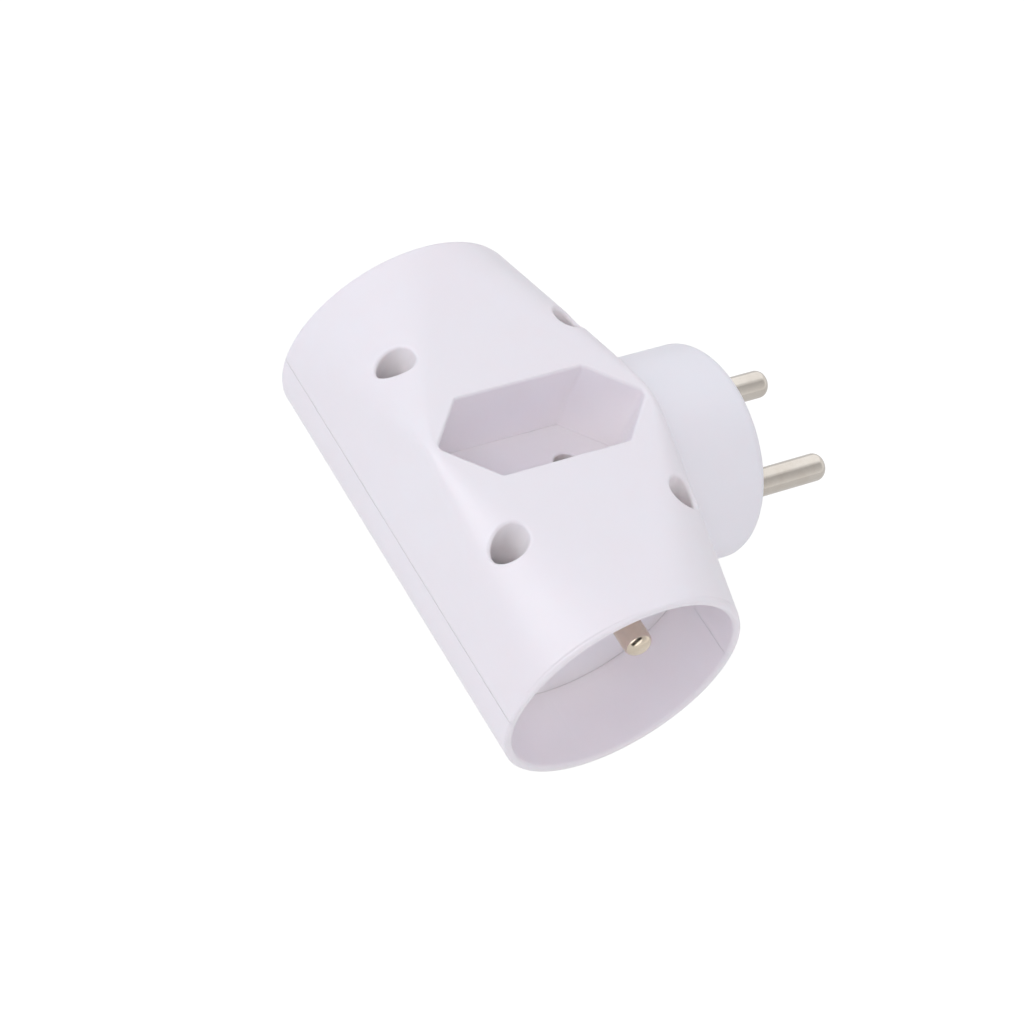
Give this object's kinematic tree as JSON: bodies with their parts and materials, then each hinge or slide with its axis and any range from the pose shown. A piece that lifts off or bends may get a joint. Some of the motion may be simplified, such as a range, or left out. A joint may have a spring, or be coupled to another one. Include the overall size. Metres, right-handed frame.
{
  "type": "multi socket adapter",
  "caption": "T-shaped plug-in adapter: round body with an earthed socket in each end, a flat two-pole socket on top and a round two-pin plug at the side.",
  "frame": {"origin": "centre of the plug's face", "axes": "+X along the plug pins, away from the body; +Z towards the two-pole socket; the earthed sockets open along -Y (right) and +Y (left)"},
  "size_m": [0.0798, 0.0776, 0.0435],
  "materials": {
    "white_casing": "satin moulded white",
    "white_plug": "satin moulded white",
    "white_socket_face": "satin moulded white",
    "nickel_pin": "bright nickel plate",
    "brass_spring": "rolled spring brass",
    "brass_strip": "stamped brass strip",
    "zinc_screw": "zinc plated"
  },
  "bodies": {
    "root": {"upper_shell": "white_casing", "lower_shell": "white_casing", "plug_body": "white_plug", "plug_face": "white_plug", "right_socket_face": "white_socket_face", "left_socket_face": "white_socket_face", "case_screws": "zinc_screw", "earth_strip": "brass_strip", "live_strip": "brass_strip", "neutral_strip": "brass_strip", "plug_earth_sleeve": "brass_spring", "contact_rivets": "brass_strip", "live_plug_pin": "nickel_pin", "neutral_plug_pin": "nickel_pin", "right_earth_pin": "nickel_pin", "left_earth_pin": "nickel_pin", "right_live_contact": "brass_spring", "right_neutral_contact": "brass_spring", "left_live_contact": "brass_spring", "left_neutral_contact": "brass_spring", "top_live_contact": "brass_spring", "top_neutral_contact": "brass_spring"}
  },
  "joints": []
}
